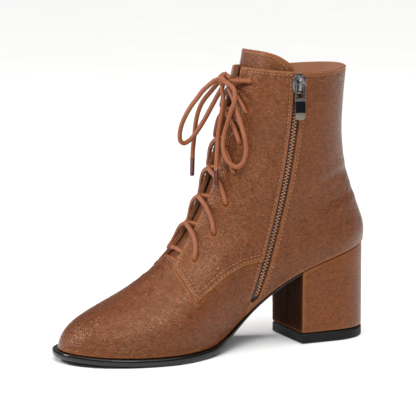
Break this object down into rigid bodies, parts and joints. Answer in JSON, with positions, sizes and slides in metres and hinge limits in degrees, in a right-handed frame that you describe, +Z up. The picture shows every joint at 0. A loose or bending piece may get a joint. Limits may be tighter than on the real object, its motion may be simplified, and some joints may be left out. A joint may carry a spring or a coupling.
{
  "type": "lace-up ankle boot",
  "caption": "Right-foot leather ankle boot with front lacing, a wide tongue, a medial side zip and a leather-covered block heel.",
  "frame": {"origin": "middle of the heel's resting face, on the floor", "axes": "+X to the toe, +Y to the wearer's left, which is the medial side of this right boot, +Z up"},
  "size_m": [0.2313, 0.0916, 0.2019],
  "materials": {
    "leather": "grained brown leather with a soft sheen",
    "sole": "black, glossy edge",
    "lining": "smooth tan lining",
    "lace": "round woven lace",
    "zip_tape": "dark woven tape with metal teeth",
    "zip_metal": "dark gunmetal"
  },
  "bodies": {
    "boot": {"upper": "leather", "tongue": "leather", "heel_block": "leather", "outsole": "sole", "top_lift": "sole", "insole": "lining", "lace_bar_bottom": "lace", "lace_bar_medial": "lace", "lace_bar_lateral": "lace", "lace_knot": "lace", "lace_loop_lateral": "lace", "lace_loop_medial": "lace", "lace_end_lateral": "lace", "lace_end_medial": "lace", "lace_cross_1": "lace", "lace_cross_2": "lace", "lace_cross_3": "lace", "lace_cross_4": "lace", "lace_cross_5": "lace", "lace_cross_6": "lace", "zip_tape": "zip_tape", "zip_slider": "zip_metal"},
    "zip_pull": {"zip_pull": "zip_metal"}
  },
  "joints": [
    {"name": "zip_pull_swing", "type": "hinge", "parent": "boot", "child": "zip_pull", "pos_m": [0.0396, 0.03992, 0.18029], "axis": [0.9705, -0.2401, -0.0226], "range_deg": [0, 150]}
  ]
}
